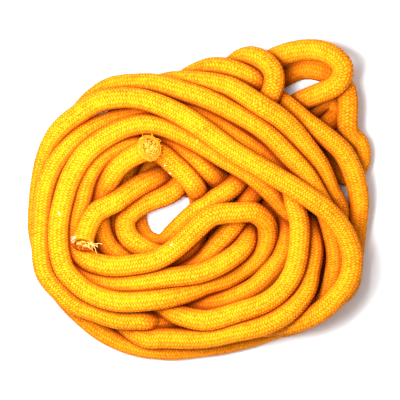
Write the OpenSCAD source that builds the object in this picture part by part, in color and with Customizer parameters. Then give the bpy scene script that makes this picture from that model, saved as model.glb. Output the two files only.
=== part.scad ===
// A kernmantle climbing rope lying in one loose heap: a sheath over parallel core strands.
// Units are millimetres. The heap lies on z = 0 with its middle at the origin.

/* [Rope] */
// Diameter of the rope over the sheath
rope_d = 9.6; // [8:0.1:10]
// Thickness of the sheath wall
sheath_wall = 1.4; // [1:0.1:2]
// Gap between each core strand and its neighbours, and to the sheath
strand_gap = 0.12; // [0.1:0.01:0.2]

/* [Heap] */
// Length of the heap in plan, from the middle of its leftmost turn to that of its rightmost
heap_l = 162; // [158:1:195]
// Room kept between turns of the rope where they press on each other
turn_room = 2.1; // [1.9:0.1:2.6]
// Height that one step of the laying order starts from
laying_step = 4.5; // [4.2:0.1:5.4]

/* [Hidden] */

// The rope's sections are hexagons that stand on a flat, so the underside can be a flat strip.
sides = 6;
flat_cut = rope_d / 10;
rest_z = rope_d / 2 - flat_cut;
bore_r = rope_d / 2 - sheath_wall;
turn_pitch = rope_d + turn_room;
heap_scale = heap_l / 162;

// How the laid rope settles: passes in all, and in the first ones the sag and the pull to the plan.
passes = 240;
free_passes = 110;
sag = 0.1;
plan_pull = 0.08;
push_share = 0.45;
height_stiffness = 0.15;
plan_stiffness = 0.3;
points_a_span = 2;
same_turn = 4;
reach = turn_pitch + 8.5;

// Route from the frayed end to the clean cut end, in plan. The third number is the laying order:
// of two stretches that cross, the one with the larger number lies on top.
route = [
    // Frayed end and its run across the inner turns
    [-59, -23, 8], [-58, -15, 8], [-54, -6, 8], [-45, 0, 8], [-35, 6, 8], [-25, 10, 7], [-17, 12, 4.5],
    // Under the heap to the upper right
    [-8, 12, 1.6], [2, 16, 1], [10, 25, 1.2], [17, 36, 1.6], [23, 48, 2.2], [28, 58, 3.2],
    // Big bight at the upper right
    [34, 66, 4], [40, 71, 5.5], [48, 74, 6.5], [57, 75, 7], [65, 73, 7.5], [71, 68, 7.5],
    [72, 62, 7.5], [68, 56, 7.5], [60, 52, 7], [52, 48, 6], [46, 43, 4],
    // Back under the top loops
    [38, 34, 2.5], [32, 25, 2.5], [26, 16, 3],
    // Out beside the diagonal, then down to the floor round the eye
    [20, 10, 7], [12, 4, 7.4], [4, -2, 6], [-1, -10, 3], [-9, -22, 1.5], [-18, -28, 1],
    [-26, -26, 0.8], [-32, -19, 0.8], [-34, -11, 1], [-32, -2, 1.2],
    // Straight up the plan under everything
    [-29, 7, 1.8], [-26, 17, 2.2], [-22, 27, 2.6], [-15, 37, 2.8], [-6, 47, 2.8], [3, 56, 2.4],
    [10, 62, 2.6],
    // Middle bight
    [16, 67, 4.5], [24, 70, 6], [31, 68, 6.5], [35, 63, 6.5], [35, 56, 6.5], [33, 49, 5.8],
    // Back down under the diagonal
    [30, 41, 3], [24, 32, 3], [16, 24, 3], [8, 19, 3], [0, 15, 3.2], [-7, 10, 3.8],
    // Small turn round the eye
    [-14, 6, 5], [-24, 2, 6], [-32, -3, 6], [-38, -10, 6], [-38, -18, 6], [-35, -24, 5], [-28, -29, 4],
    [-18, -30, 4], [-10, -24, 4], [-3, -17, 4], [0, -9, 4.5],
    // Up the right of the eye and down its left
    [-2, -2, 7], [-5, 6, 7], [-9, 14, 7], [-14, 20, 7], [-20, 26, 6.5], [-28, 28, 5.5], [-37, 27, 5],
    [-45, 22, 4.5], [-51, 15, 4], [-56, 7, 4], [-59, -2, 4], [-62, -12, 4], [-62, -22, 4.5],
    // Inner front run, which ends in the middle bight over the heap
    [-60, -28, 6], [-54, -32, 7.5], [-44, -34, 8], [-32, -33, 8], [-21, -30, 8], [-11, -23, 8],
    [-2, -14, 8], [6, -7, 8.5], [18, -6, 9], [26, -6, 9], [32, -10, 8.5], [34, -15, 6], [33, -22, 3],
    [27, -28, 1], [20, -33, 0.5], [12, -39, 1], [2, -45, 4],
    // Third loop on the left
    [-12, -50, 7.5], [-28, -52, 8], [-42, -52, 8], [-54, -48, 8], [-62, -42, 8], [-68, -34, 8],
    [-70, -22, 8], [-69, -10, 8], [-66, 2, 8], [-62, 12, 8], [-56, 21, 8], [-48, 28, 8], [-38, 34, 8],
    [-28, 37, 8], [-19, 36, 7.5], [-11, 33, 6.5],
    // Along under the diagonal
    [-1, 27, 6], [11, 20, 6.3], [24, 13, 6.6], [36, 5, 6.5], [45, -4, 6],
    // Third loop on the right
    [55, -11, 5.5], [58, -24, 6], [58, -36, 6], [56, -47, 6], [47, -58, 6], [33, -64, 6.5],
    [18, -67, 6.5], [3, -69, 6.5], [-10, -68, 6], [-20, -66, 5], [-30, -64, 3.6],
    // Low round the left
    [-41, -58, 2.4], [-52, -51, 2], [-62, -44, 2], [-70, -34, 2], [-74, -22, 2], [-74, -8, 2],
    [-72, 8, 2], [-69, 21, 2], [-64, 35, 2], [-57, 47, 2.5],
    // Second loop along the back
    [-45, 56, 4.5], [-32, 58, 5], [-20, 58, 5.5], [-8, 55, 6], [5, 51, 6.5], [16, 46, 7], [26, 40, 7],
    [35, 32, 7], [42, 22, 7], [49, 12, 7], [56, 2, 6.5], [62, -7, 6],
    // Fourth loop on the right
    [66, -18, 6], [68, -28, 5.5], [67, -38, 5], [64, -48, 4.5], [58, -54, 4], [48, -60, 3.5],
    [38, -62, 3], [25, -65, 3], [12, -67, 3],
    // Front edge of the heap and low round the left
    [0, -68, 3], [-12, -68, 3], [-25, -65, 3], [-38, -61, 3], [-48, -57, 3], [-57, -52, 3],
    [-65, -46, 3], [-72, -37, 3], [-77, -26, 3], [-80, -15, 3.5],
    // Top loop: up the left, then the long diagonal over everything
    [-80, -4, 4], [-79, 6, 4.5], [-76, 20, 5.5], [-70, 32, 7], [-60, 41, 8.5], [-49, 48, 8.5],
    [-35, 50, 8.5], [-24, 48, 9], [-14, 44, 9],
    [-5, 39, 9.5], [5, 32, 9.5], [16, 24, 9.5], [28, 17, 9.5], [40, 10, 9.5], [53, 2, 9.5],
    [64, -6, 9.5],
    // Top loop: down the right side
    [72, -16, 9], [76, -28, 8], [74, -39, 7], [68, -47, 6], [60, -54, 5], [50, -59, 4.5],
    [39, -62, 3.5],
    // Under the front
    [27, -64, 2], [14, -62, 2], [0, -60, 1.5], [-12, -59, 1.5],
    // Second loop on the left
    [-24, -61, 4], [-32, -61, 6], [-42, -60, 7], [-52, -56, 7], [-62, -52, 7], [-70, -45, 7],
    [-77, -36, 7], [-79, -25, 7], [-79, -12, 7], [-78, 4, 7], [-74, 17, 7], [-67, 27, 7], [-58, 35, 7],
    [-47, 40, 6.5], [-36, 42, 6], [-27, 44, 5.5],
    // Under the top loop and out again on its far side
    [-18, 45, 5], [-8, 46, 5],
    [1, 44, 6], [11, 38, 6.5], [22, 30, 6.5], [30, 24, 6.5], [38, 16, 6], [44, 7, 5.5],
    // Second loop on the right
    [46, -2, 6], [49, -12, 7], [49, -24, 7.5], [47, -36, 7.5], [41, -46, 7.5], [32, -53, 7.5],
    [18, -58, 7.5], [4, -62, 7.5], [-9, -60, 7.5], [-19, -56, 7],
    // Lowest turn round the left
    [-29, -53, 3], [-40, -49, 2.5], [-51, -43, 2.5], [-59, -35, 2], [-63, -25, 1.5], [-65, -14, 1.5],
    [-64, -2, 1.5], [-60, 10, 1.5], [-54, 22, 1.5], [-46, 32, 1.5], [-37, 42, 1.5], [-28, 51, 2],
    [-18, 56, 3],
    // Third loop along the back
    [-8, 58, 5], [4, 58, 6], [15, 56, 7], [26, 50, 7.5], [36, 44, 7.5], [45, 36, 7.5], [53, 26, 7.5],
    [60, 16, 7.5], [65, 4, 7], [70, -6, 5],
    // Hairpin on the floor under the right side
    [68, -16, 3], [63, -26, 2], [58, -35, 1.5], [57, -43, 1], [62, -49, 1], [70, -49, 1],
    [75, -42, 1.5], [77, -33, 2], [79, -23, 2.5],
    // Right edge of the heap, upwards
    [81, -12, 4], [82, -2, 5], [80, 7, 6], [76, 16, 6], [70, 24, 6], [61, 31, 6], [52, 37, 5.5],
    [44, 43, 4], [36, 48, 2.6], [30, 54, 4],
    // Small bight at the back
    [25, 58, 6.5], [18, 61, 7], [10, 62, 7], [2, 61, 5.5],
    // Low turn inside the lowest one
    [-6, 58, 2], [-16, 50, 1], [-25, 42, 1], [-34, 32, 1], [-42, 22, 1], [-47, 11, 1], [-50, -2, 1],
    [-52, -14, 1], [-50, -26, 1], [-44, -35, 1.2], [-33, -40, 1.5], [-21, -38, 3],
    // Short run inside the middle bight
    [-10, -34, 5.5], [0, -28, 6], [9, -20, 6], [16, -14, 5.2], [22, -6, 4.5], [26, 2, 4.6],
    [32, 8, 3.6],
    // Under the top loops to the right edge
    [42, 12, 2.5], [54, 14, 2], [66, 13, 2], [76, 14, 2.5],
    // Low bight below the big one
    [80, 20, 3], [79, 28, 3.5], [74, 33, 4], [72, 39, 4.5], [72, 47, 5], [71, 55, 5], [66, 62, 4],
    [58, 66, 4], [49, 67, 3.5], [40, 64, 2],
    // Innermost low turn
    [31, 60, 1.2], [20, 55, 0.8], [8, 51, 0.8], [-5, 46, 0.8], [-16, 36, 0.6], [-26, 25, 0.6],
    [-34, 12, 0.6], [-40, -1, 0.6], [-41, -14, 0.6], [-38, -26, 0.6], [-31, -36, 0.6], [-21, -44, 0.6],
    [-10, -50, 1.5],
    // Innermost loop on the right
    [1, -52, 5], [12, -50, 7], [24, -43, 8], [32, -35, 8], [38, -26, 8], [41, -14, 7],
    [39, -4, 5.5], [32, 2, 3.6], [22, 6, 3],
    // Second run above the eye, then low round the left
    [13, 10, 3], [6, 15, 5.3], [-2, 21, 6], [-11, 27, 6], [-20, 30, 5.5],
    [-29, 31, 4], [-39, 29, 3], [-48, 23, 3], [-55, 15, 3], [-60, 5, 3], [-64, -7, 3], [-66, -19, 3],
    [-64, -29, 4],
    // Front run, which doubles back under the middle bight
    [-60, -34, 6.5], [-54, -39, 7], [-44, -42, 7.5], [-30, -42, 7.5], [-15, -40, 7.5], [-1, -38, 7.5],
    [10, -33, 7.5], [20, -26, 7.5], [25, -19, 7.5], [24, -13, 6], [19, -10, 4.5], [11, -11, 3.5],
    [4, -17, 3], [-4, -24, 2.5],
    [-12, -31, 2], [-25, -34, 2], [-36, -32, 2], [-46, -26, 2.5],
    // Up to the clean cut end on top of the heap
    [-51, -16, 3], [-52, -6, 3], [-51, 3, 4.5], [-49, 11, 6], [-44, 18, 7.5], [-36, 23, 8.2],
    [-29, 25, 9], [-25, 26, 11]
];

function sum(list) = len(list) == 0 ? [0, 0, 0] : [for (item = list) 1] * list;

// Point number i of a list, continued straight past both ends.
function at(list, i) =
    i < 0 ? 2 * list[0] - list[1]
    : i >= len(list) ? 2 * list[len(list) - 1] - list[len(list) - 2]
    : list[i];

// A smooth curve through the points of a list, at a share t of the span that starts at point i.
function curve(list, i, t) =
    let (a = at(list, i - 1), b = at(list, i), c = at(list, i + 1), d = at(list, i + 2))
    b + (c - a) * t / 2 + (2 * a - 5 * b + 4 * c - d) * t * t / 2 + (3 * b - a - 3 * c + d) * t * t * t / 2;

function refine(list, count) = concat(
    [for (i = [0 : len(list) - 2]) for (k = [0 : count - 1]) curve(list, i, k / count)],
    [list[len(list) - 1]]);

// The rope as it is laid down: the plan, lifted by its laying order.
laid = [for (p = refine(route, points_a_span))
    [p.x * heap_scale, p.y * heap_scale, rest_z + laying_step * p.z]];
last = len(laid) - 1;
function plan(p) = [p.x, p.y, 0];

// For each point, the points of other turns that pass near it.
near = [for (i = [0 : last]) [for (j = [0 : last])
    if (abs(i - j) > same_turn && norm(plan(laid[i] - laid[j])) < reach) j]];

// What pushes point i away from the turns that press on it.
function press(points, i) = sum([for (j = near[i])
    let (away = points[i] - points[j], far = norm(away))
    if (far < turn_pitch) away * (turn_pitch - far) / max(far, 0.1)]);

// One pass of settling: turns push apart, the rope stays smooth, and the floor carries it.
function settled_point(points, i, free) =
    let (moved = points[i] - plan(laid[i]),
        before = i > 0 ? points[i - 1] - plan(laid[i - 1]) : moved,
        after = i < last ? points[i + 1] - plan(laid[i + 1]) : moved,
        bend = i > 0 && i < last ? (before + after) / 2 - moved : [0, 0, 0],
        push = press(points, i) * push_share,
        pull = free ? [0, 0, 0] : plan(moved) * -plan_pull - [0, 0, sag],
        p = points[i] + push + pull + plan(bend) * plan_stiffness + [0, 0, bend.z * height_stiffness])
    [p.x, p.y, max(p.z, rest_z)];

function settle(points, count) =
    count == 0 ? points
    : settle([for (i = [0 : last]) settled_point(points, i, count <= free_passes)], count - 1);

heap = settle(laid, passes);
middle = [
    (max([for (p = heap) p.x]) + min([for (p = heap) p.x])) / 2,
    (max([for (p = heap) p.y]) + min([for (p = heap) p.y])) / 2, 0];
line = [for (p = heap) p - middle];

// Length of the rope, and its least gap to itself, on points four to each span of the line.
fine = 4;
fine_line = refine(line, fine);
rope_length = sum([for (i = [0 : len(fine_line) - 2]) [norm(fine_line[i + 1] - fine_line[i]), 0, 0]]).x;
least_gap = min([for (i = [0 : last - 1]) for (j = near[i]) if (j > i)
    for (a = [0 : fine - 1]) for (b = [0 : fine - 1])
        norm(fine_line[i * fine + a] - fine_line[min(j * fine + b, last * fine)])]) - rope_d;
echo(rope_length = rope_length, least_gap = least_gap, height = max([for (p = line) p.z]) + rope_d / 2);

// A ring for each point of the route, square to the line and upright.
ring_at = [for (i = [0 : points_a_span : last]) i];
function along(i) =
    let (v = line[min(i + 1, last)] - line[max(i - 1, 0)]) v / norm(v);
function across(i) = let (v = cross(along(i), [0, 0, 1])) v / norm(v);
function upward(i) = cross(across(i), along(i));

// Corner k of a hexagon with a flat below.
function corner(radius, k) = radius * [cos(60 * k + 60), -sin(60 * k + 60)];
function placed(i, p) =
    let (q = line[i] + across(i) * p.x + upward(i) * p.y) [q.x, q.y, max(q.z, 0)];

// A tube of triangles whose section is the same outline at every ring.
module swept(outline) {
    n = len(outline);
    rings = len(ring_at);
    points = [for (i = ring_at) for (p = outline) placed(i, p)];
    walls = [for (r = [0 : rings - 2]) for (k = [0 : n - 1])
        let (a = r * n + k, b = r * n + (k + 1) % n)
        for (face = [[a, a + n, b], [b, a + n, b + n]]) face];
    first = [for (k = [1 : n - 2]) [0, k, k + 1]];
    end = [for (f = first) [for (v = [2, 1, 0]) f[v] + (rings - 1) * n]];
    polyhedron(points, concat(walls, first, end));
}

// The sheath: one wall from end to end, open at both cut ends.
module sheath() {
    color([1, 0.72, 0.1]) {
        n = sides;
        rings = len(ring_at);
        outline = concat([for (k = [0 : n - 1]) corner(rope_d / 2, k)],
            [for (k = [0 : n - 1]) corner(bore_r, k)]);
        points = [for (i = ring_at) for (p = outline) placed(i, p)];
        walls = [for (r = [0 : rings - 2]) for (k = [0 : n - 1])
            let (a = r * 2 * n + k, b = r * 2 * n + (k + 1) % n, m = 2 * n)
            for (face = [[a, a + m, b], [b, a + m, b + m],
                [a + n, b + n, a + n + m], [b + n, b + n + m, a + n + m]]) face];
        first = [for (k = [0 : n - 1]) let (a = k, b = (k + 1) % n)
            for (face = [[a, b, a + n], [b, b + n, a + n]]) face];
        end = [for (f = first) [for (v = [2, 1, 0]) f[v] + (rings - 1) * 2 * n]];
        polyhedron(points, concat(walls, first, end));
    }
}

// One of the three core strands that fill the bore side by side, each a third of the hexagon.
module core_strand(number) {
    rim = [for (k = [0 : 2]) corner(bore_r, 2 * number + k)];
    thirds = concat([[0, 0]], rim);
    centre = (thirds[1] + thirds[3]) / 2;
    shrink = 1 - 2 * strand_gap / (bore_r * sin(60));
    color([0.98, 0.9, 0.62]) swept([for (p = thirds) centre + (p - centre) * shrink]);
}

module core_strand_1() { core_strand(0); }
module core_strand_2() { core_strand(1); }
module core_strand_3() { core_strand(2); }

sheath();
core_strand_1();
core_strand_2();
core_strand_3();
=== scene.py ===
"""A dynamic climbing rope lying in one loose heap, with a braided sheath over three core strands."""

import functools
import math

import bpy
import numpy as np
from bpy.props import FloatProperty, FloatVectorProperty, IntProperty, PointerProperty
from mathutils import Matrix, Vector


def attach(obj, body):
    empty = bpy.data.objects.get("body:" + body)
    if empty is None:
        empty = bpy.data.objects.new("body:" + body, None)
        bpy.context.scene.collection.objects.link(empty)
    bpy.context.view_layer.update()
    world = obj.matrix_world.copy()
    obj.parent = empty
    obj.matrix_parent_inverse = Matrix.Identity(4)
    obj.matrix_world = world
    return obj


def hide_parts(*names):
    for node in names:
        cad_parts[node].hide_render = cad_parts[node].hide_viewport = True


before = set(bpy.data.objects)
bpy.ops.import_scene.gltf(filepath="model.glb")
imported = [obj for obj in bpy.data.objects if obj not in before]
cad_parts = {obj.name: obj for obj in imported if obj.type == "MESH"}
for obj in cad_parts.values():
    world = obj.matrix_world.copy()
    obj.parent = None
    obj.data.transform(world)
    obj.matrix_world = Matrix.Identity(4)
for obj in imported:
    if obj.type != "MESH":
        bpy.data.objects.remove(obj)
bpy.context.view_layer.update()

bl_info = {
    "name": "Rope Heap",
    "version": (1, 0, 0),
    "blender": (4, 5, 0),
    "location": "3D View > Sidebar > Rope",
    "description": "Lays a braided climbing rope in one loose heap, with its cut end and its frayed end",
    "category": "Mesh",
}

MM = 0.001

# Route from the frayed end to the clean cut end, in plan, in millimetres. The third number is the
# laying order: of two stretches that cross, the one with the larger number lies on top.
ROUTE = [
    # Frayed end and its run across the inner turns
    (-59, -23, 8), (-58, -15, 8), (-54, -6, 8), (-45, 0, 8), (-35, 6, 8), (-25, 10, 7), (-17, 12, 4.5),
    # Under the heap to the upper right
    (-8, 8, 1.6), (3, 7, 0.8), (11, 18, 1), (17, 36, 1.6), (23, 48, 2.2), (28, 58, 3.2),
    # Big bight at the upper right
    (34, 66, 4), (40, 71, 5.5), (48, 74, 6.5), (57, 75, 7), (65, 73, 7.5), (71, 68, 7.5),
    (72, 62, 7.5), (68, 56, 7.5), (60, 52, 7), (52, 48, 6), (46, 43, 4),
    # Back under the top loops
    (38, 34, 2.5), (32, 25, 2.5), (26, 16, 3),
    # Out beside the diagonal, then down to the floor round the eye
    (20, 10, 7), (12, 4, 7.4), (4, -2, 7), (0, -9, 4.6), (-9, -22, 1.5), (-16, -27, 1),
    (-24, -24, 0.8), (-29, -18, 0.8), (-32, -10, 1), (-32, -2, 1.2),
    # Straight up the plan under everything
    (-29, 7, 1.8), (-26, 17, 2.2), (-22, 27, 2.6), (-15, 37, 2.8), (-6, 47, 2.8), (3, 56, 2.4),
    (10, 62, 2.6),
    # Middle bight
    (16, 67, 4.5), (24, 70, 6), (31, 68, 6.5), (35, 63, 6.5), (35, 56, 6.5), (33, 49, 5.8),
    # Back down under the diagonal
    (30, 41, 3), (24, 32, 3), (16, 24, 3), (8, 19, 3), (0, 15, 3.2), (-7, 10, 3.8),
    # Small turn round the eye
    (-14, 6, 5), (-24, 2, 6), (-32, -3, 6), (-38, -10, 6), (-38, -18, 6), (-35, -24, 5), (-28, -29, 4),
    (-18, -30, 4), (-9, -24, 3), (-4, -16, 2.5), (-4, -8, 2.5),
    # Up the right of the eye and down its left
    (-3, -1, 3.6), (-5, 6, 5.4), (-9, 14, 6.6), (-14, 20, 7), (-20, 26, 6.5), (-28, 28, 5.5), (-37, 27, 5),
    (-45, 22, 4.5), (-51, 15, 4), (-56, 7, 4), (-59, -2, 4), (-62, -12, 4), (-62, -22, 4.5),
    # Inner front run, which ends in the middle bight over the heap
    (-60, -28, 6), (-54, -32, 7.5), (-44, -34, 8), (-32, -33, 8), (-21, -30, 8), (-11, -23, 8),
    (-2, -14, 8), (6, -7, 8.5), (18, -6, 9), (26, -6, 9), (32, -10, 8.5), (34, -15, 6), (33, -22, 3),
    (29, -30, 1), (22, -36, 0.5), (13, -42, 1), (2, -45, 4),
    # Third loop on the left
    (-12, -50, 7.5), (-28, -52, 8), (-42, -52, 8), (-54, -48, 8), (-62, -42, 8), (-68, -34, 8),
    (-70, -22, 8), (-69, -10, 8), (-66, 2, 8), (-62, 12, 8), (-56, 21, 8), (-48, 28, 8), (-38, 34, 8),
    (-28, 37, 8), (-19, 36, 7.5), (-11, 33, 6.5),
    # Along under the diagonal
    (-1, 28, 5.4), (12, 21, 5.4), (25, 14, 5.6), (37, 6, 5.6), (46, -3, 5.6),
    # Third loop on the right
    (55, -11, 5.5), (58, -24, 6), (56, -36, 6), (54, -46, 6), (46, -56, 6), (33, -62, 6.5),
    (18, -64, 6.5), (3, -66, 6.5), (-10, -65, 6), (-20, -63, 5), (-30, -62, 3.6),
    # Low round the left
    (-41, -58, 2.4), (-52, -51, 2), (-62, -44, 2), (-70, -34, 2), (-74, -22, 2), (-74, -8, 2),
    (-72, 8, 2), (-69, 21, 2), (-64, 35, 2), (-57, 47, 2.5),
    # Second loop along the back
    (-45, 56, 4.5), (-32, 58, 5), (-20, 58, 5.5), (-8, 55, 6), (5, 51, 6.5), (16, 46, 7), (26, 40, 7),
    (35, 32, 7), (42, 22, 7), (49, 12, 7), (56, 2, 6.5), (62, -7, 6),
    # Fourth loop on the right
    (66, -18, 6), (68, -28, 5.5), (67, -38, 5), (64, -48, 4.5), (58, -54, 4), (48, -60, 3.5),
    (38, -62, 3), (25, -66, 2), (12, -69, 1.5),
    # Front edge of the heap and low round the left
    (0, -70, 1.5), (-12, -70, 1.5), (-25, -67, 1.5), (-38, -62, 2), (-48, -57, 3), (-57, -52, 3),
    (-65, -46, 3), (-72, -37, 3), (-77, -26, 3), (-80, -15, 3.5),
    # Top loop: up the left, then the long diagonal over everything
    (-80, -4, 4), (-79, 6, 4.5), (-76, 20, 5.5), (-70, 32, 7), (-60, 41, 8.5), (-49, 48, 8.5),
    (-35, 50, 8.5), (-24, 48, 9), (-14, 44, 9),
    (-5, 39, 9.5), (5, 32, 9.5), (16, 24, 9.5), (28, 17, 9.5), (40, 10, 9.5), (53, 2, 9.5),
    (64, -6, 9.5),
    # Top loop: down the right side
    (72, -16, 9), (76, -28, 8), (74, -39, 7), (68, -47, 6), (60, -54, 5), (50, -59, 4.5),
    (39, -62, 3.5),
    # Under the front
    (27, -64, 2), (14, -62, 2), (0, -60, 1.5), (-12, -59, 1.5),
    # Second loop on the left
    (-24, -61, 4), (-32, -61, 6), (-42, -60, 7), (-52, -56, 7), (-62, -52, 7), (-70, -45, 7),
    (-77, -36, 7), (-79, -25, 7), (-79, -12, 7), (-78, 4, 7), (-74, 17, 7), (-67, 27, 7), (-58, 35, 7),
    (-47, 40, 6.5), (-36, 42, 6), (-27, 44, 5.5),
    # Under the top loop and out again on its far side
    (-18, 45, 5), (-8, 46, 5),
    (1, 44, 6), (11, 38, 6.5), (22, 30, 6.5), (30, 24, 6.5), (38, 16, 6), (44, 7, 5.5),
    # Second loop on the right
    (46, -2, 6), (49, -12, 7), (49, -24, 7.5), (47, -36, 7.5), (41, -46, 7.5), (32, -53, 7.5),
    (18, -58, 7.5), (4, -62, 7.5), (-9, -60, 7.5), (-19, -56, 7),
    # Lowest turn round the left
    (-29, -53, 3), (-40, -49, 2.5), (-51, -43, 2.5), (-59, -35, 2), (-63, -25, 1.5), (-65, -14, 1.5),
    (-64, -2, 1.5), (-60, 10, 1.5), (-54, 22, 1.5), (-46, 32, 1.5), (-37, 42, 1.5), (-28, 51, 2),
    (-18, 56, 3),
    # Third loop along the back
    (-8, 58, 5), (4, 58, 6), (15, 56, 7), (26, 50, 7.5), (36, 44, 7.5), (45, 36, 7.5), (53, 26, 7.5),
    (60, 16, 7.5), (65, 4, 7), (70, -6, 5),
    # Hairpin on the floor under the right side
    (68, -16, 3), (63, -26, 2), (58, -35, 1.5), (57, -43, 1), (62, -49, 1), (70, -49, 1),
    (75, -42, 1.5), (76, -33, 2), (77, -23, 2.5),
    # Right edge of the heap, upwards
    (78, -12, 4), (79, -2, 5), (78, 7, 6), (75, 16, 6), (70, 24, 6), (61, 31, 6), (52, 37, 5.5),
    (44, 43, 4), (36, 48, 2.6), (30, 54, 4),
    # Small bight at the back
    (25, 58, 6.5), (18, 61, 7), (10, 62, 7), (2, 61, 5.5),
    # Low turn inside the lowest one
    (-6, 58, 2), (-16, 50, 1), (-25, 42, 1), (-34, 32, 1), (-42, 22, 1), (-47, 11, 1), (-50, -2, 1),
    (-52, -14, 1), (-50, -26, 1), (-44, -35, 1.2), (-33, -40, 1.5), (-21, -38, 3),
    # Short run inside the middle bight
    (-10, -34, 5.5), (0, -28, 6), (9, -20, 6), (16, -14, 5.2), (22, -6, 4.5), (26, 2, 4.6),
    (32, 8, 3.6),
    # Under the top loops to the right edge
    (42, 12, 2.5), (49, 20, 1.5), (54, 29, 1), (60, 36, 1), (66, 42, 1),
    # Hairpin beside the big bight
    (70, 47, 1), (68, 52, 1.2), (63, 49, 1.5), (57, 45, 1.5), (50, 40, 1), (48, 32, 0.8), (54, 26, 0.8),
    (62, 22, 1.2), (69, 15, 1.8), (76, 13, 2.5),
    # Low bight below the big one
    (80, 20, 3), (79, 28, 3.5), (74, 33, 4), (72, 39, 4.5), (72, 47, 5), (71, 55, 5), (66, 62, 4),
    (58, 66, 4), (49, 67, 3.5), (40, 64, 2),
    # Innermost low turn
    (31, 60, 1.2), (20, 55, 0.8), (8, 51, 0.8), (-5, 46, 0.8), (-16, 36, 0.6), (-26, 25, 0.6),
    (-34, 12, 0.6), (-40, -1, 0.6), (-41, -14, 0.6), (-38, -26, 0.6), (-31, -36, 0.6), (-21, -44, 0.6),
    (-10, -50, 1.5),
    # Innermost loop on the right
    (1, -52, 5), (12, -50, 7), (25, -44, 8), (33, -36, 8), (39, -27, 8), (41, -14, 7),
    (39, -4, 5.5), (32, 2, 3.6), (22, 6, 3),
    # Second run above the eye, then low round the left
    (13, 10, 3), (6, 15, 5.3), (-2, 21, 6), (-11, 27, 6), (-20, 30, 5.5),
    (-29, 31, 4), (-39, 29, 3), (-48, 23, 3), (-55, 15, 3), (-60, 5, 3), (-64, -7, 3), (-66, -19, 3),
    (-64, -29, 4),
    # Front run, which doubles back under the middle bight
    (-60, -34, 6.5), (-54, -39, 7), (-44, -42, 7.5), (-30, -42, 7.5), (-15, -40, 7.5), (-1, -38, 7.5),
    (10, -33, 7.5), (20, -26, 7.5), (25, -19, 7.5), (24, -13, 6), (19, -10, 4.5), (11, -11, 3.5),
    (4, -17, 3), (-4, -24, 2.5),
    (-12, -31, 2), (-25, -34, 2), (-36, -32, 2), (-46, -26, 2.5),
    # Up to the clean cut end on top of the heap
    (-51, -16, 3), (-52, -6, 3), (-51, 3, 4.5), (-49, 11, 6), (-44, 18, 7.5), (-36, 23, 8.2),
    (-29, 25, 8.8), (-25, 26, 10),
]


def refined(points, count):
    """A smooth curve through the points, with this many steps to each span."""
    ends = np.vstack([2 * points[0] - points[1], points, 2 * points[-1] - points[-2]])
    a, b, c, d = (ends[k : len(ends) - 3 + k, None] for k in range(4))
    t = (np.arange(count) / count)[None, :, None]
    curve = (
        b
        + (c - a) * t / 2
        + (2 * a - 5 * b + 4 * c - d) * t**2 / 2
        + (3 * b - a - 3 * c + d) * t**3 / 2
    )
    return np.vstack([curve.reshape(-1, 3), points[-1:]])


# Settling of the laid turns. Lengths are in millimetres, and the rest are shares for each pass.
TURN_ROOM = 0.8
LAYING_STEP = 4.5
PASSES = 240
FREE_PASSES = 110
SAG = 0.1
PLAN_PULL = 0.08
PUSH_SHARE = 0.45
PLAN_STIFFNESS = 0.3
HEIGHT_STIFFNESS = 0.15
# Turns that pass nearer than this to the turn pitch in plan can meet
REACH = 8.5
# Steps along the rope that are too near each other to be two turns
SAME_TURN = 4
# Height of the lowest middle line as a share of the diameter, less than half as the rope is soft
FLOOR_PRESS = 0.4

# Rise of the two ends over the turns that they lie on, and the steps that it is spread over
CUT_END_RISE = 5
FRAYED_END_RISE = 4
RISING_STEPS = 5


@functools.lru_cache
def settled(rope_d):
    """The middle line of the rope in millimetres once the laid turns have settled on each other."""
    laid = refined(np.array(ROUTE, float), 2)
    rest = rope_d * FLOOR_PRESS
    turn_pitch = rope_d + TURN_ROOM
    line = np.column_stack([laid[:, :2], rest + LAYING_STEP * laid[:, 2]])
    plan = laid * [1, 1, 0]
    count = len(line)
    apart = np.linalg.norm(plan[:, None] - plan[None], axis=2)
    steps = np.abs(np.subtract.outer(np.arange(count), np.arange(count)))
    one, other = np.nonzero((apart < turn_pitch + REACH) & (steps > SAME_TURN))
    stiffness = np.array([PLAN_STIFFNESS, PLAN_STIFFNESS, HEIGHT_STIFFNESS])
    for left in range(PASSES, 0, -1):
        away = line[one] - line[other]
        far = np.linalg.norm(away, axis=1)
        share = np.where(far < turn_pitch, (turn_pitch - far) / np.maximum(far, 0.1), 0)
        push = np.column_stack([np.bincount(one, away[:, k] * share, count) for k in range(3)])
        moved = line - plan
        bend = np.zeros_like(line)
        bend[1:-1] = (moved[:-2] + moved[2:]) / 2 - moved[1:-1]
        line = line + PUSH_SHARE * push + bend * stiffness
        if left > FREE_PASSES:
            line = line - moved * [PLAN_PULL, PLAN_PULL, 0] - [0, 0, SAG]
        line[:, 2] = np.maximum(line[:, 2], rest)
    middle = (line.max(0) + line.min(0)) / 2 * [1, 1, 0]
    return line - middle


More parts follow.
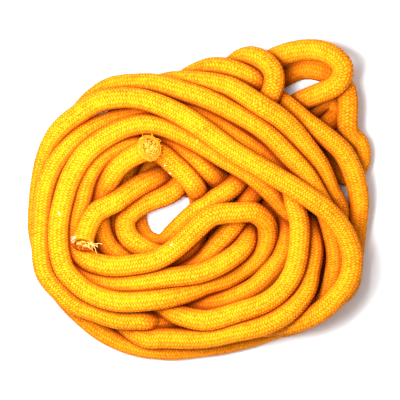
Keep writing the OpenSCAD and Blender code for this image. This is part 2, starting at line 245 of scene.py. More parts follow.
class Line:
    """The rope's middle line in metres, as even steps with a frame that doesn't twist at each."""

    def __init__(self, rope_d, step):
        laid = settled(rope_d / MM).copy()
        rise = np.linspace(0, 1, RISING_STEPS) ** 2
        laid[-RISING_STEPS:, 2] += CUT_END_RISE * rise
        laid[:RISING_STEPS, 2] += FRAYED_END_RISE * rise[::-1]
        fine = refined(laid, 16) * MM
        run = np.concatenate([[0], np.cumsum(np.linalg.norm(np.diff(fine, axis=0), axis=1))])
        self.length = run[-1]
        self.count = int(round(self.length / step)) + 1
        self.run = np.linspace(0, self.length, self.count)
        self.at = np.column_stack([np.interp(self.run, run, fine[:, k]) for k in range(3)])
        along = np.gradient(self.at, axis=0)
        self.along = along / np.linalg.norm(along, axis=1)[:, None]
        self.side = self.untwisted()
        self.up = np.cross(self.along, self.side)

    def untwisted(self):
        """A sideways direction at each step, carried along the line by two mirrors to the next."""
        side = np.cross(self.along[0], [0, 0, 1])
        sides = [side / np.linalg.norm(side)]
        for here, there, a, b in zip(self.at[:-1], self.at[1:], self.along[:-1], self.along[1:]):
            chord = there - here
            half = chord @ chord
            turned = sides[-1] - 2 * (chord @ sides[-1]) / half * chord
            ahead = a - 2 * (chord @ a) / half * chord
            mirror = b - ahead
            width = mirror @ mirror
            if width > 1e-18:
                turned = turned - 2 * (mirror @ turned) / width * mirror
            sides.append(turned)
        return np.array(sides)

    def rings(self, steps, sides, radius, centre=(0, 0)):
        """Rings of points round the line, or round a line beside it, at these steps."""
        turn = 2 * math.pi * np.arange(sides) / sides
        x = centre[0] + radius * np.cos(turn)
        y = centre[1] + radius * np.sin(turn)
        x, y = (np.broadcast_to(v, (len(steps), sides))[..., None] for v in (x, y))
        return self.at[steps, None] + x * self.side[steps, None] + y * self.up[steps, None]

    def painted_shade_mask(self, columns, radius, apart=8, view=5, same_turn=4, least=0.8, slack=0.15):
        """How closed in by other turns each place on the sheath is, from 0 in the open to 1: the share of
        painted shade that darkens the sheath's colour there.

        Turns count within view radii, past same_turn radii along the rope, from no nearer than
        least radii. slack lets in those just behind the surface.
        """
        steps = np.unique(np.append(np.arange(0, self.count, apart), self.count - 1))
        middles, run = self.at[steps], self.run[steps]
        turn = 2 * math.pi * np.arange(columns) / columns
        share = radius * (run[1] - run[0]) / 2
        closed = np.zeros((len(steps), columns))
        for k, step in enumerate(steps):
            off = np.linalg.norm(middles - middles[k], axis=1)
            near = (off < view * radius) & (np.abs(run - run[k]) > same_turn * radius)
            out = np.outer(np.cos(turn), self.side[step]) + np.outer(np.sin(turn), self.up[step])
            to = middles[near][None] - (middles[k] + radius * out)[:, None]
            far = np.maximum(np.linalg.norm(to, axis=2), least * radius)
            facing = (to * out[:, None]).sum(2) / far + slack
            closed[k] = (np.maximum(facing, 0) * share / far**2).sum(1)
        rows = np.arange(self.count)
        even = [np.interp(rows, steps, closed[:, c]) for c in range(columns)]
        return np.clip(np.column_stack(even), 0, 1)


# Height of a yarn's crown where it dives under, as a share of its height at mid float
DIVE = 0.4


def braid_height(turns, pitches, yarns):
    """Height of the braid from 0 in its valleys to 1 on its crowns, over two yarns and under two."""
    right_hand = (turns + pitches) * yarns
    left_hand = (turns - pitches) * yarns
    cell = np.mod(np.floor(right_hand) + np.floor(left_hand), 4)
    on_top = cell < 2
    over_right, over_left = right_hand % 1, left_hand % 1
    across = np.where(on_top, over_right, over_left)
    along = np.where(on_top, cell + over_left, cell - 2 + over_right) / 2
    dome = np.sqrt(np.maximum(1 - (2 * across - 1) ** 2, 0))
    return dome * (DIVE + (1 - DIVE) * np.sin(math.pi * along))


def quads(rows, columns, first=0):
    """Faces of a tube of rows of points, closed round each row."""
    r, k = np.meshgrid(np.arange(rows - 1), np.arange(columns), indexing="ij")
    near, far = first + r * columns, first + (r + 1) * columns
    after = (k + 1) % columns
    return np.stack([near + k, near + after, far + after, far + k], 2).reshape(-1, 4)


def new_piece(name, points, faces, material):
    """A smooth mesh piece that lies with the rope. faces is a list of arrays of like faces."""
    mesh = bpy.data.meshes.new(name)
    sizes = np.concatenate([np.full(len(f), f.shape[1]) for f in faces])
    corners = np.concatenate([f.ravel() for f in faces])
    mesh.vertices.add(len(points))
    mesh.vertices.foreach_set("co", np.asarray(points, np.float32).ravel())
    mesh.loops.add(len(corners))
    mesh.loops.foreach_set("vertex_index", corners.astype(np.int32))
    mesh.polygons.add(len(sizes))
    starts = np.concatenate([[0], np.cumsum(sizes)[:-1]])
    mesh.polygons.foreach_set("loop_start", starts.astype(np.int32))
    mesh.update(calc_edges=True)
    mesh.validate()
    mesh.shade_smooth()
    mesh.materials.append(material)
    piece = bpy.data.objects.new(name, mesh)
    bpy.context.scene.collection.objects.link(piece)
    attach(piece, "root")
    return piece


def set_map(piece, name, places):
    """A UV map of this name from one place for each corner."""
    layer = piece.data.uv_layers.new(name=name, do_init=False)
    layer.uv.foreach_set("vector", np.asarray(places, np.float32).ravel())


def tube_places(rows, columns):
    """Row and column of each corner of quads(), with the seam's second side a full turn on."""
    r, k = np.meshgrid(np.arange(rows - 1), np.arange(columns), indexing="ij")
    row = np.stack([r, r, r + 1, r + 1], 2).reshape(-1)
    column = np.stack([k, k + 1, k + 1, k], 2).reshape(-1)
    return row, column, np.repeat(r.reshape(-1), 4)


def threads(paths, radii, sides=5):
    """Points and faces of loose threads: one thin closed tube for each path, tapered to its tip."""
    points, walls, tips = [], [], []
    first = 0
    for path, radius in zip(paths, radii):
        path = np.asarray(path, float)
        along = np.gradient(path, axis=0)
        along /= np.linalg.norm(along, axis=1)[:, None] + 1e-12
        side = np.cross(along, [0.31, 0.17, 0.93])
        side /= np.linalg.norm(side, axis=1)[:, None] + 1e-12
        up = np.cross(along, side)
        turn = 2 * math.pi * np.arange(sides) / sides
        thin = radius * np.linspace(1, 0.55, len(path))[:, None, None]
        ring = np.cos(turn)[None, :, None] * side[:, None] + np.sin(turn)[None, :, None] * up[:, None]
        points.append((path[:, None] + thin * ring).reshape(-1, 3))
        walls.append(quads(len(path), sides, first))
        last = first + (len(path) - 1) * sides
        tips.append([first + k for k in reversed(range(sides))])
        tips.append([last + k for k in range(sides)])
        first += len(path) * sides
    return np.vstack(points), [np.vstack(walls), np.array(tips)]


class Value:
    """A socket of a material. Sums, products and the like of values add Math nodes."""

    def __init__(self, finish, socket):
        self.finish = finish
        self.socket = socket

    def math(self, operation, *others):
        inputs = dict(enumerate((self, *others)))
        return self.finish.node("ShaderNodeMath", {"operation": operation}, inputs)

    def __add__(self, other):
        return self.math("ADD", other)

    def __mul__(self, other):
        return self.math("MULTIPLY", other)

    def __sub__(self, other):
        return self.math("SUBTRACT", other)

    def __truediv__(self, other):
        return self.math("DIVIDE", other)

    def __pow__(self, other):
        return self.math("POWER", other)

    def __mod__(self, other):
        return self.math("FLOORED_MODULO", other)

    def __lt__(self, other):
        return self.math("LESS_THAN", other)

    def __rsub__(self, other):
        return self * -1 + other

    __radd__ = __add__
    __rmul__ = __mul__


class Finish:
    """A material under one Principled shader, with a method for each kind of step in its making."""

    def __init__(self, name, constant):
        self.material = bpy.data.materials.new(name)
        self.material.use_nodes = True
        self.tree = self.material.node_tree
        self.surface = self.tree.nodes["Principled BSDF"]
        for socket, value in constant.items():
            self.surface.inputs[socket].default_value = value

    def feed(self, socket, value):
        if isinstance(value, Value):
            self.tree.links.new(value.socket, socket)
        else:
            socket.default_value = value

    def node(self, kind, settings=(), inputs=(), output=0):
        made = self.tree.nodes.new(kind)
        for name, value in dict(settings).items():
            if name == "stops":
                ramp = made.color_ramp.elements
                while len(ramp) < len(value):
                    ramp.new(1)
                for stop, (place, colour) in zip(ramp, value):
                    stop.position = place
                    stop.color = (*colour, 1)
            else:
                setattr(made, name, value)
        for name, value in dict(inputs).items():
            self.feed(made.inputs[name], value)
        return Value(self, made.outputs[output])

    def mix(self, factor, one, other, blend="MIX"):
        """One colour into another, by a factor."""
        one, other = ((*c, 1) if isinstance(c, (tuple, list)) else c for c in (one, other))
        settings = {"data_type": "RGBA", "blend_type": blend}
        return self.node("ShaderNodeMix", settings, {0: factor, 6: one, 7: other}, 2)

    def grey(self, value):
        """A value as a grey colour."""
        return self.node("ShaderNodeCombineColor", {}, {0: value, 1: value, 2: value})

    def vector(self, x=0.0, y=0.0, z=0.0):
        return self.node("ShaderNodeCombineXYZ", {}, {0: x, 1: y, 2: z})

    def noise(self, vector, scale, detail=2.0, roughness=0.5):
        inputs = {"Vector": vector, "Scale": scale, "Detail": detail, "Roughness": roughness}
        return self.node("ShaderNodeTexNoise", {}, inputs)

    def ramp(self, value, *stops):
        return self.node("ShaderNodeValToRGB", {"stops": stops}, {0: value})

    def bump(self, height, distance, strength=1.0):
        inputs = {"Height": height, "Distance": distance, "Strength": strength}
        normal = self.node("ShaderNodeBump", {}, inputs)
        self.feed(self.surface.inputs["Normal"], normal)

    def paint(self, socket, value):
        self.feed(self.surface.inputs[socket], value)


def sheath_finish(sizes, colours):
    """Dyed cotton-like yarns, braided over two and under two, yellow with painted light on the crowns, and
    with painted shade in the valleys and between the turns.
    """
    cotton = {"Sheen Weight": 0.0, "Specular IOR Level": 0.04}
    made = Finish("braided_sheath", cotton)
    place = made.node("ShaderNodeUVMap", {"uv_map": "Braid"})
    pitches = made.node("ShaderNodeSeparateXYZ", {}, {0: place}, 0)
    turns = made.node("ShaderNodeSeparateXYZ", {}, {0: place}, 1)
    where = made.node("ShaderNodeTexCoord", output=3)
    turns = turns + (made.noise(where, 420.0, 1.0) - 0.5) * 0.045
    pitches = pitches + (made.noise(where, 310.0, 1.0) - 0.5) * 0.03
    right_hand = (turns + pitches) * sizes.yarns
    left_hand = (turns - pitches) * sizes.yarns
    right_yarn, left_yarn = right_hand.math("FLOOR"), left_hand.math("FLOOR")
    over_right, over_left = right_hand - right_yarn, left_hand - left_yarn
    cell = (right_yarn + left_yarn) % 4
    on_top = cell < 2
    below = 1 - on_top
    across = on_top * over_right + below * over_left
    along = (cell - 2 * below + on_top * over_left + below * over_right) / 2
    dome = (1 - (2 * across - 1) ** 2).math("MAXIMUM", 0).math("SQRT")
    height = dome * (DIVE + (1 - DIVE) * (along * math.pi).math("SINE"))
    number = on_top * (right_yarn % sizes.yarns) + below * (left_yarn % sizes.yarns + 40)

    plies = made.noise(made.vector(across * 7, along * 1.6, number * 3.7 + cell), 1.0, 3.0, 0.6)
    fibres = made.noise(where, 2600.0, 2.0, 0.65)
    mottle = made.noise(where, 38.0, 3.0, 0.55)
    float_id = made.vector(right_yarn, left_yarn, on_top)
    tint = made.node("ShaderNodeTexWhiteNoise", {"noise_dimensions": "3D"}, {"Vector": float_id})

    # The braid's height paints light on the crowns and shade in the valleys; the other terms vary the
    # yarns' own tone
    level = height * 0.8 + (tint - 0.5) * 0.22 + (plies - 0.5) * 0.6
    level = level + (fibres - 0.5) * 0.5 + (mottle - 0.5) * 0.35
    dye_with_painted_light_and_shade = made.ramp(
        level,
        (0.02, tuple(colours.valley)),
        (0.36, tuple(colours.flank)),
        (0.72, tuple(colours.crown)),
    )
    shade = 0.92 + 0.1 * tint + 0.16 * (mottle - 0.5)
    dye_with_painted_light_and_shade = made.mix(1.0, dye_with_painted_light_and_shade, made.grey(shade), "MULTIPLY")
    fluff = ((fibres - 0.66) * 7).math("MAXIMUM", 0).math("MINIMUM", 1) * 0.35
    dye_with_painted_light_and_shade = made.mix(fluff, dye_with_painted_light_and_shade, tuple(colours.lint))
    # Painted shade: the sheath darkens towards a deep red-brown where other turns close in round it, by
    # the stored attribute
    painted_nook_shade = made.node("ShaderNodeAttribute", {"attribute_name": "Nook"}, output=2)
    dye_with_painted_light_and_shade = made.mix(painted_nook_shade**1.2 * 0.96, dye_with_painted_light_and_shade, tuple(colours.painted_nook_shade))
    made.paint("Base Color", dye_with_painted_light_and_shade)
    made.paint("Roughness", 0.78 + 0.18 * (1 - height) + 0.1 * (fibres - 0.5))
    made.bump(height * 0.5 + plies * 0.45 + fibres * 0.3, 0.22 * MM)
    return made.material


def thread_finish(name, colour, tip, scale=900.0):
    """Loose cotton-like thread, paler in patches where its fibres stand apart."""
    made = Finish(name, {"Sheen Weight": 0.05, "Specular IOR Level": 0.08})
    where = made.node("ShaderNodeTexCoord", output=3)
    patches = made.noise(where, scale, 3.0, 0.6)
    fibres = made.noise(where, 5200.0, 2.0, 0.6)
    level = (patches - 0.3) * 2.2
    level = level.math("MAXIMUM", 0).math("MINIMUM", 1)
    made.paint("Base Color", made.mix(level, tuple(colour), tuple(tip)))
    made.paint("Roughness", 0.8 + 0.2 * fibres)
    made.bump(fibres + patches * 0.5, 0.08 * MM)
    return made.material


def colour_property(label, text, default):
    return FloatVectorProperty(
        name=label, description=text, subtype="COLOR", size=3, min=0, max=1, default=default
    )


def length_property(label, text, default):
    return FloatProperty(
        name=label, description=text, subtype="DISTANCE", unit="LENGTH", min=0, default=default
    )


class RopeSizes(bpy.types.PropertyGroup):
    """Sizes of the rope and of its braid."""

    rope_d: length_property("Rope diameter", "Diameter over the sheath", 9.6 * MM)
    sheath_wall: length_property("Sheath wall", "Thickness of the sheath", 1.4 * MM)
    strand_gap: length_property("Strand gap", "Gap round each core strand", 0.12 * MM)
    braid_pitch: length_property("Braid pitch", "Length of one turn of a sheath yarn", 20 * MM)
    relief: length_property("Braid relief", "Height of the yarn crowns over the valleys", 0.42 * MM)
    plump: length_property("Plumpness", "Height of the soft yarns over the nominal size", 0.4 * MM)
    yarns: IntProperty(name="Yarns", description="Yarns that wind each way", default=14, min=4)
    sides: IntProperty(name="Sides", description="Points round the sheath", default=56, min=12)
    flare: FloatProperty(
        name="Cut flare", description="Share by which the cut end spreads", default=0.28
    )


class RopeColours(bpy.types.PropertyGroup):
    """Colours of the yarns, the core and the loose ends, with the sheath's painted light and shade."""

    # Crowns, flanks and valleys: the dye, with painted light on the crowns and painted shade in the
    # valleys
    crown: colour_property("Crowns", "Sheath where yarns stand proud", (0.84, 0.29, 0.006))
    flank: colour_property("Flanks", "Sheath between crown and valley", (0.72, 0.165, 0.003))
    valley: colour_property("Valleys", "Sheath where yarns dive under", (0.38, 0.05, 0.001))
    # Painted shade colour between the turns, mixed in where other turns close in
    painted_nook_shade: colour_property("Nooks", "Sheath deep between the turns", (0.2, 0.02, 0.0005))
    lint: colour_property("Lint", "Fibres that stand off the yarns", (0.95, 0.4, 0.03))
    core: colour_property("Core", "Core strands", (0.8, 0.22, 0.012))
    core_tip: colour_property("Core tips", "Cut fibre ends of the core", (0.92, 0.38, 0.04))
    fray: colour_property("Fray", "Pale loose threads at the frayed end", (1.0, 0.58, 0.2))
    tuft: colour_property("Tuft", "Pale tuft at the frayed end", (0.95, 0.55, 0.42))
    floor: colour_property("Floor", "Plain floor under the rope", (0.84, 0.87, 0.9))


# Steps of the line to each turn of a sheath yarn
STEPS_PER_PITCH = 48


def rope_line(sizes):
    return shared_line(sizes.rope_d, sizes.braid_pitch / STEPS_PER_PITCH)


@functools.lru_cache
def shared_line(rope_d, step):
    return Line(rope_d, step)


# Lengths over which the two ends spread, the spread of the frayed one, and the uneven thickness
FLARE_LENGTH = 3.5 * MM
FRAY_LENGTH = 2.5 * MM
FRAY_SPREAD = 0.1
LUMPS = 0.018
LONG_WAVE = 31 * MM
SHORT_WAVE = 13.7 * MM


class ROPE_OT_sheath(bpy.types.Operator):
    """Braids the sheath over the whole line of the rope, open at both ends"""

    bl_idname = "rope_heap.sheath"
    bl_label = "Sheath"

    def execute(self, context):
        sizes, colours = context.scene.rope_sizes, context.scene.rope_colours
        line = rope_line(sizes)
        rows, columns = line.count, sizes.sides
        steps = np.arange(rows)
        turns = np.arange(columns) / columns
        pitches = line.run / sizes.braid_pitch
        height = braid_height(turns[None] + 1e-6, pitches[:, None] + 1e-6, sizes.yarns)
        radius = sizes.rope_d / 2 + sizes.plump + sizes.relief * (height - 0.55)
        left = line.length - line.run
        mouth = sizes.flare * np.exp(-((left / FLARE_LENGTH) ** 2))
        fray = FRAY_SPREAD * np.exp(-((line.run / FRAY_LENGTH) ** 2))
        lumps = 1 + LUMPS * np.sin(line.run / LONG_WAVE) * np.sin(line.run / SHORT_WAVE)
        radius = radius * (lumps + mouth + fray)[:, None]
        outer = line.rings(steps, columns, radius)
        inner_steps = np.unique(np.append(steps[::8], rows - 1))
        bore = sizes.rope_d / 2 - sizes.sheath_wall
        inner = line.rings(inner_steps, columns // 2, bore)
        points = np.vstack([outer.reshape(-1, 3), inner.reshape(-1, 3)])
        points[:, 2] = np.maximum(points[:, 2], 0)
        start = rows * columns
        lining = quads(len(inner_steps), columns // 2, start)[:, ::-1]
        rims = []
        for far, outside in ((0, 0), (1, (rows - 1) * columns)):
            inside = start + far * (len(inner_steps) - 1) * (columns // 2)
            k = np.arange(columns // 2)
            after = (k + 1) % (columns // 2)
            o0, o1, o2 = outside + 2 * k, outside + 2 * k + 1, outside + 2 * after
            i0, i1 = inside + k, inside + after
            rim = np.vstack([np.stack(t, 1) for t in ((o0, i0, o1), (o1, i1, o2), (o1, i0, i1))])
            rims.append(rim if not far else rim[:, ::-1])
        walls = quads(rows, columns)
        faces = [walls, lining, np.vstack(rims)]
        material = sheath_finish(sizes, colours)
        piece = new_piece("rope_sheath", points, faces, material)
        self.map(piece, line, sizes, walls, lining, np.vstack(rims), inner_steps)
        # Painted shade: each point's share of shade from the turns that close in round it, kept as a point
        # attribute for the sheath's colour; the lining inside takes full painted shade
        painted_shade_mask = line.painted_shade_mask(columns, sizes.rope_d / 2)
        shade = piece.data.attributes.new("Nook", "FLOAT", "POINT")
        inside = np.ones(len(points) - start)
        shade.data.foreach_set("value", np.append(painted_shade_mask.ravel(), inside).astype(np.float32))
        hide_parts("sheath")
        return {"FINISHED"}

    def map(self, piece, line, sizes, walls, lining, rims, inner_steps):
        """A map along and round the braid, and one that lays the rope in strips side by side."""
        rows, columns = line.count, sizes.sides
        strips, edge, width, margin = 12, 0.03, 0.92, 0.002
        lining_edge, lining_width = 0.035, 0.03
        row, column, face_row = tube_places(rows, columns)
        pitches = line.run / sizes.braid_pitch
        braid = np.column_stack([pitches[row], column / columns])
        a_strip = math.ceil((rows - 1) / strips)
        strip = face_row // a_strip
        across = (strip + edge + width * column / columns) / strips
        down = margin + (1 - 2 * margin) * (row - strip * a_strip) / a_strip
        laid = np.column_stack([down, across])
        row, column, _ = tube_places(len(inner_steps), columns // 2)
        inside = np.column_stack([pitches[inner_steps[row]], column / (columns // 2)])[::-1]
        across = (strips - lining_edge + lining_width * column / (columns // 2)) / strips
        hidden = np.column_stack([row / len(inner_steps), across])
        rim = np.tile([[0.0, 0.0], [0.05, 0.0], [0.0, 0.05]], (len(rims), 1))
        set_map(piece, "Braid", np.vstack([braid, inside, rim]))
        set_map(piece, "OFBake", np.vstack([laid, hidden, 0.001 + rim * 0.001]))


class ROPE_OT_core(bpy.types.Operator):
    """Lays the three core strands side by side inside the sheath"""

    bl_idname = "rope_heap.core"
    bl_label = "Core strands"

    def execute(self, context):
        sizes, colours = context.scene.rope_sizes, context.scene.rope_colours
        line = rope_line(sizes)
        bore = sizes.rope_d / 2 - sizes.sheath_wall
        strand_r = (bore - sizes.strand_gap) / (1 + 2 / math.sqrt(3)) - sizes.strand_gap / 2
        off = bore - sizes.strand_gap - strand_r
        steps = np.unique(np.append(np.arange(0, line.count, 6), line.count - 1))
        material = thread_finish("core_strand", colours.core, colours.core_tip)
        for number in range(3):
            turn = 2 * math.pi * (number / 3 + 0.12)
            centre = off * math.cos(turn), off * math.sin(turn)
            sides = 12
            plies = 1 + 0.05 * np.cos(3 * 2 * math.pi * np.arange(sides) / sides)
            rings = line.rings(steps, sides, strand_r * plies[None], centre)
            points = rings.reshape(-1, 3)
            points[:, 2] = np.maximum(points[:, 2], 0.4 * MM)
            last = (len(steps) - 1) * sides
            tips = np.array([list(range(sides))[::-1], [last + k for k in range(sides)]])
            name = f"rope_core_strand_{number + 1}"
            piece = new_piece(name, points, [quads(len(steps), sides), tips], material)
            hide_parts(f"core_strand_{number + 1}")
        return {"FINISHED"}


# Rings of core yarns at the two ends: radius in millimetres and number of yarns
CUT_CORE_RINGS = ((0, 1), (1.2, 6), (2.4, 13), (3.6, 20))
FRAYED_CORE_RINGS = ((0, 1), (1.2, 6), (2.4, 11), (3.5, 16))
# Sheath yarns that curl round the cut: share of the mouth's radius and height in millimetres
CUT_SHEATH_LOOPS = ((0.98, -0.5), (0.9, 0.1), (0.79, 0.4), (0.68, 0.6))
CUT_SHEATH_STUBS = 40
FRAYED_THREADS = 15
TUFT_THREADS = 34


class ROPE_OT_cut_end(bpy.types.Operator):
    """Packs the yarn ends of the sheath and of the core on the face of the clean cut"""

    bl_idname = "rope_heap.cut_end"
    bl_label = "Cut end"

    def execute(self, context):
        sizes, colours = context.scene.rope_sizes, context.scene.rope_colours
        line = rope_line(sizes)
        rng = np.random.default_rng(11)
        end, out = line.at[-1], line.along[-1]
        side, up = line.side[-1], line.up[-1]
        mouth_r = (sizes.rope_d / 2 + sizes.plump) * (1 + sizes.flare)
        stubs, radii = [], []
        for ring, count in CUT_CORE_RINGS:
            for k in range(count):
                turn = 2 * math.pi * (k + 0.3 * ring) / count + rng.normal(0, 0.06)
                way = math.cos(turn) * side + math.sin(turn) * up
                foot = end + way * ring * MM - out * 2.0 * MM
                lean = way * rng.normal(0.25, 0.25) + np.cross(out, way) * rng.normal(0.2, 0.2)
                tall = (2.5 + rng.uniform(-0.3, 0.7)) * MM
                t = np.linspace(0, 1, 6)[:, None]
                stubs.append(foot + out * tall * t + lean * tall * 0.35 * t**2)
                radii.append(rng.uniform(0.5, 0.62) * MM)
        points, faces = threads(stubs, radii, 8)
        material = thread_finish("cut_core_yarns", colours.core, colours.lint, 700.0)
        new_piece("rope_cut_core_yarns", points, faces, material)

        loops, radii = [], []
        for number, (across, lift) in enumerate(CUT_SHEATH_LOOPS):
            start = rng.uniform(0, 2 * math.pi)
            turn = start + np.linspace(0, 2 * math.pi * rng.uniform(0.8, 0.97), 72)
            wave = 1 + 0.02 * np.sin(turn * 11 + number)
            way = np.cos(turn)[:, None] * side + np.sin(turn)[:, None] * up
            rise = (lift + 0.14 * np.sin(turn * 7 + 2 * number))[:, None] * MM
            loops.append(end + way * (mouth_r * across * wave)[:, None] + out * rise)
            radii.append(0.42 * MM)
        for k in range(CUT_SHEATH_STUBS):
            turn = 2 * math.pi * k / CUT_SHEATH_STUBS + rng.normal(0, 0.08)
            way = math.cos(turn) * side + math.sin(turn) * up
            t = np.linspace(0, 1, 5)[:, None]
            foot = end + way * mouth_r * rng.uniform(0.7, 0.95) - out * 0.8 * MM
            bent = way * rng.normal(0.4, 0.5) + np.cross(out, way) * rng.normal(0, 0.7)
            tall = rng.uniform(1.4, 2.6) * MM
            loops.append(foot + out * tall * t + bent * tall * 0.6 * t**2)
            radii.append(rng.uniform(0.16, 0.3) * MM)
        points, faces = threads(loops, radii, 6)
        material = thread_finish("cut_sheath_yarns", colours.flank, colours.crown, 800.0)
        new_piece("rope_cut_sheath_yarns", points, faces, material)
        return {"FINISHED"}


class ROPE_OT_frayed_end(bpy.types.Operator):
    """Pulls loose threads and a pale tuft out of the frayed end"""

    bl_idname = "rope_heap.frayed_end"
    bl_label = "Frayed end"

    def execute(self, context):
        sizes, colours = context.scene.rope_sizes, context.scene.rope_colours
        line = rope_line(sizes)
        rng = np.random.default_rng(23)
        end, out = line.at[0], -line.along[0]
        side = np.cross([0, 0, 1], out)
        side /= np.linalg.norm(side)
        up = np.cross(out, side)
        rope_r = sizes.rope_d / 2
        t = np.linspace(0, 1, 12)[:, None]

        def curled(foot, way, length, droop, curl):
            phase = rng.uniform(0, 6.3)
            swing = np.sin(t * 5 + phase) - math.sin(phase)
            sway = np.cross(way, [0, 0, 1])
            return foot + way * length * t + sway * swing * curl - np.array([0, 0, droop]) * t**2

        pale, pale_r = [], []
        for k in range(FRAYED_THREADS):
            place = rng.uniform(0.15, 1.0), rng.uniform(0.2, 0.9)
            foot = end + side * place[0] * rope_r * 0.95 + up * place[1] * rope_r * 0.8 - out * MM
            way = out * rng.uniform(0.4, 1.0) + side * rng.uniform(0.1, 1.0) + up * rng.uniform(0.1, 0.6)
            way /= np.linalg.norm(way)
            length = rng.uniform(4, 9) * MM
            pale.append(curled(foot, way, length, 1.5 * MM, rng.uniform(0.3, 0.9) * MM))
            pale_r.append(rng.uniform(0.11, 0.22) * MM)
        points, faces = threads(pale, pale_r, 6)
        material = thread_finish("frayed_threads", colours.fray, colours.lint)
        new_piece("rope_frayed_threads", points, faces, material)

        tuft, tuft_r = [], []
        for k in range(TUFT_THREADS):
            foot = end - side * rng.uniform(0.55, 1.0) * rope_r + up * rng.uniform(0.0, 0.7) * rope_r
            foot = foot - out * 0.8 * MM
            way = out * rng.uniform(-0.1, 0.6) - side * rng.uniform(0.2, 1.0) + up * rng.uniform(0.2, 1.0)
            way /= np.linalg.norm(way)
            tuft.append(curled(foot, way, rng.uniform(1.2, 2.8) * MM, 0.3 * MM, 0.25 * MM))
            tuft_r.append(rng.uniform(0.08, 0.15) * MM)
        points, faces = threads(tuft, tuft_r, 5)
        material = thread_finish("frayed_tuft", colours.tuft, (1.0, 0.93, 0.85))
        new_piece("rope_frayed_tuft", points, faces, material)

        inner, inner_r = [], []
        for ring, count in FRAYED_CORE_RINGS:
            for k in range(count):
                turn = 2 * math.pi * k / count + rng.normal(0, 0.15)
                way = math.cos(turn) * side + math.sin(turn) * up
                foot = end + way * ring * MM - out * 2.5 * MM
                tall = rng.uniform(1.2, 2.4 + 0.35 * ring) * MM
                lean = way * rng.normal(0.3, 0.35) + np.cross(out, way) * rng.normal(0, 0.4)
                inner.append(foot + out * tall * t + lean * tall * 0.5 * t**2)
                inner_r.append(rng.uniform(0.38, 0.58) * MM)
        points, faces = threads(inner, inner_r, 7)
        material = thread_finish("frayed_core", colours.valley, colours.core)
        new_piece("rope_frayed_core_yarns", points, faces, material)
        return {"FINISHED"}


# Places of the flecks and of the yarn stub in plan, in millimetres
PALE_FLECKS = ((-17, 17), (-14.5, 13.5), (-13.5, -22.5), (-70, -7))
DARK_FLECKS = ((-57, -8), (20, -25), (-22, -57), (58, 17), (-46, 43), (2, -61))
YARN_STUB = (-1.5, 28)
RAISED_FIBRES = 1800
# Fibres keep this many steps off the ends, and stay this far over the floor
FIBRE_MARGIN = 20
FIBRE_FLOOR = 3 * MM


class ROPE_OT_lint(bpy.types.Operator):
    """Raises fine fibres all over the sheath, and lays the few specks of lint on it"""

    bl_idname = "rope_heap.lint"
    bl_label = "Lint"

    def execute(self, context):
        sizes, colours = context.scene.rope_sizes, context.scene.rope_colours
        line = rope_line(sizes)
        rng = np.random.default_rng(5)
        hairs, radii = [], []
        t = np.linspace(0, 1, 4)[:, None]
        for k in range(RAISED_FIBRES):
            step = rng.integers(FIBRE_MARGIN, line.count - FIBRE_MARGIN)
            turn = rng.uniform(0, 2 * math.pi)
            way = math.cos(turn) * line.side[step] + math.sin(turn) * line.up[step]
            foot = line.at[step] + way * sizes.rope_d * 0.49
            if foot[2] < FIBRE_FLOOR:
                continue
            lie = line.along[step] * rng.normal(0, 1) + np.cross(way, line.along[step]) * rng.normal(0, 1)
            lie /= np.linalg.norm(lie)
            tall = rng.uniform(0.5, 1.5) * MM
            hairs.append(foot + way * tall * 0.6 * np.sin(t * 2.2) + lie * tall * t)
            radii.append(rng.uniform(0.018, 0.035) * MM)
        points, faces = threads(hairs, radii, 3)
        material = thread_finish("raised_fibres", colours.crown, colours.lint)
        new_piece("rope_raised_fibres", points, faces, material)
        self.flecks(line, sizes, colours, rng)
        return {"FINISHED"}

    def flecks(self, line, sizes, colours, rng):
        """Pale and dark flecks caught in the braid, and one short end of yarn that stands up"""
        t = np.linspace(-0.5, 0.5, 6)[:, None]
        for name, colour, tip, size, places in (
            ("rope_pale_flecks", colours.tuft, (1.0, 0.92, 0.85), 0.27, PALE_FLECKS),
            ("rope_dark_flecks", (0.12, 0.03, 0.004), (0.3, 0.1, 0.01), 0.2, DARK_FLECKS),
        ):
            paths = []
            for x, y in places:
                foot, out = self.top_at(line, sizes, x * MM, y * MM)
                lie = np.cross(out, rng.normal(0, 1, 3))
                lie /= np.linalg.norm(lie)
                across = np.cross(out, lie)
                bow = 0.3 * MM * np.cos(t * math.pi) * across
                paths.append(foot + out * 0.12 * MM + lie * t * rng.uniform(1.0, 1.8) * MM + bow)
            points, faces = threads(paths, [size * MM] * len(paths), 6)
            new_piece(name, points, faces, thread_finish(name, colour, tip))
        foot, out = self.top_at(line, sizes, *(v * MM for v in YARN_STUB))
        rise = np.array([0.25, 0.8, 0.55])
        stubs = [foot + (t + 0.35) * 3.2 * MM * (rise + [k * 0.2, 0, 0]) for k in (-1, 0, 1)]
        points, faces = threads(stubs, [0.3 * MM] * 3, 6)
        material = thread_finish("yarn_stub", colours.crown, colours.lint)
        new_piece("rope_yarn_stub", points, faces, material)

    def top_at(self, line, sizes, x, y):
        """The place on the topmost turn over a point of the plan, and the way out of it"""
        apart = np.hypot(line.at[:, 0] - x, line.at[:, 1] - y)
        near = np.nonzero(apart < sizes.rope_d * 0.55)[0]
        if not len(near):
            raise RuntimeError(f"no turn of the rope lies under {x:.4f}, {y:.4f}")
        top = near[np.argmax(line.at[near, 2] - apart[near])]
        out = np.array([x - line.at[top, 0], y - line.at[top, 1], 0])
        radius = sizes.rope_d / 2 + sizes.plump
        out[2] = math.sqrt(max(radius**2 - out @ out, 0))
        out /= np.linalg.norm(out)
        return line.at[top] + out * radius, out


# A long lens straight over the heap, in millimetres and metres
CAMERA_LENS = 540
CAMERA_PLACE = (0.32 * MM, -0.08 * MM, 3.025)
# Soft lights: name, place, width and power
LIGHTS = (
    ("key", (-0.09, 0.03, 0.34), 0.18, 3.8),
    ("fill", (-0.3, 0.4, 2.0), 2.0, 26.0),
)
WORLD_LIGHT = 0.26


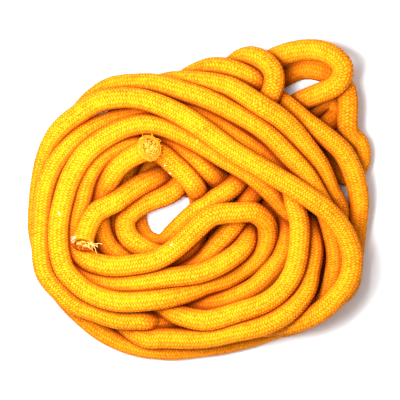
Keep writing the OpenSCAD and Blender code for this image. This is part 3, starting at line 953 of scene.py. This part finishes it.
class ROPE_OT_stage(bpy.types.Operator):
    """Sets the camera over the heap, the floor and the studio light"""

    bl_idname = "rope_heap.stage"
    bl_label = "Stage"

    def execute(self, context):
        scene, colours = context.scene, context.scene.rope_colours
        camera = bpy.data.objects.new("camera", bpy.data.cameras.new("camera"))
        camera.data.lens = CAMERA_LENS
        camera.data.sensor_width = 36
        camera.location = CAMERA_PLACE
        scene.collection.objects.link(camera)
        scene.camera = camera

        half, drop = 4.0, 0.05 * MM
        mesh = bpy.data.meshes.new("floor")
        corners = [(x * half, y * half, -drop) for x, y in ((-1, -1), (1, -1), (1, 1), (-1, 1))]
        mesh.from_pydata(corners, [], [(0, 1, 2, 3)])
        floor = bpy.data.objects.new("floor", mesh)
        plain = Finish("plain_floor", {"Roughness": 0.9, "Specular IOR Level": 0.1})
        plain.paint("Base Color", (*colours.floor, 1))
        mesh.materials.append(plain.material)
        scene.collection.objects.link(floor)

        for name, place, width, power in LIGHTS:
            lamp = bpy.data.lights.new(name, "AREA")
            lamp.size = width
            lamp.energy = power
            light = bpy.data.objects.new(name, lamp)
            light.location = place
            light.rotation_euler = (-Vector(place)).to_track_quat("-Z", "Y").to_euler()
            scene.collection.objects.link(light)
        world = bpy.data.worlds.new("studio")
        world.use_nodes = True
        background = world.node_tree.nodes["Background"]
        background.inputs["Color"].default_value = (1, 1, 1, 1)
        background.inputs["Strength"].default_value = WORLD_LIGHT
        scene.world = world
        scene.view_settings.view_transform = "Standard"
        return {"FINISHED"}


class ROPE_PT_panel(bpy.types.Panel):
    """Lists the steps that lay the rope"""

    bl_idname = "ROPE_PT_panel"
    bl_label = "Rope Heap"
    bl_space_type = "VIEW_3D"
    bl_region_type = "UI"
    bl_category = "Rope"

    def draw(self, context):
        for group in (context.scene.rope_sizes, context.scene.rope_colours):
            for name in group.bl_rna.properties.keys():
                if name not in ("rna_type", "name"):
                    self.layout.prop(group, name)
        for step in STEPS:
            self.layout.operator(step.bl_idname)


STEPS = (
    ROPE_OT_stage,
    ROPE_OT_sheath,
    ROPE_OT_core,
    ROPE_OT_cut_end,
    ROPE_OT_frayed_end,
    ROPE_OT_lint,
)
CLASSES = (RopeSizes, RopeColours, *STEPS, ROPE_PT_panel)


def register():
    for made in CLASSES:
        bpy.utils.register_class(made)
    bpy.types.Scene.rope_sizes = PointerProperty(type=RopeSizes)
    bpy.types.Scene.rope_colours = PointerProperty(type=RopeColours)


def unregister():
    del bpy.types.Scene.rope_colours
    del bpy.types.Scene.rope_sizes
    for made in reversed(CLASSES):
        bpy.utils.unregister_class(made)


def declare_rope(sizes):
    """Makes the rope's middle line for these sizes, and nothing more."""
    line = rope_line(sizes)


def main():
    register()
    bpy.ops.rope_heap.stage()
    bpy.ops.rope_heap.sheath()
    bpy.ops.rope_heap.core()
    bpy.ops.rope_heap.cut_end()
    bpy.ops.rope_heap.frayed_end()
    bpy.ops.rope_heap.lint()
    declare_rope(bpy.context.scene.rope_sizes)


if __name__ == "__main__":
    main()
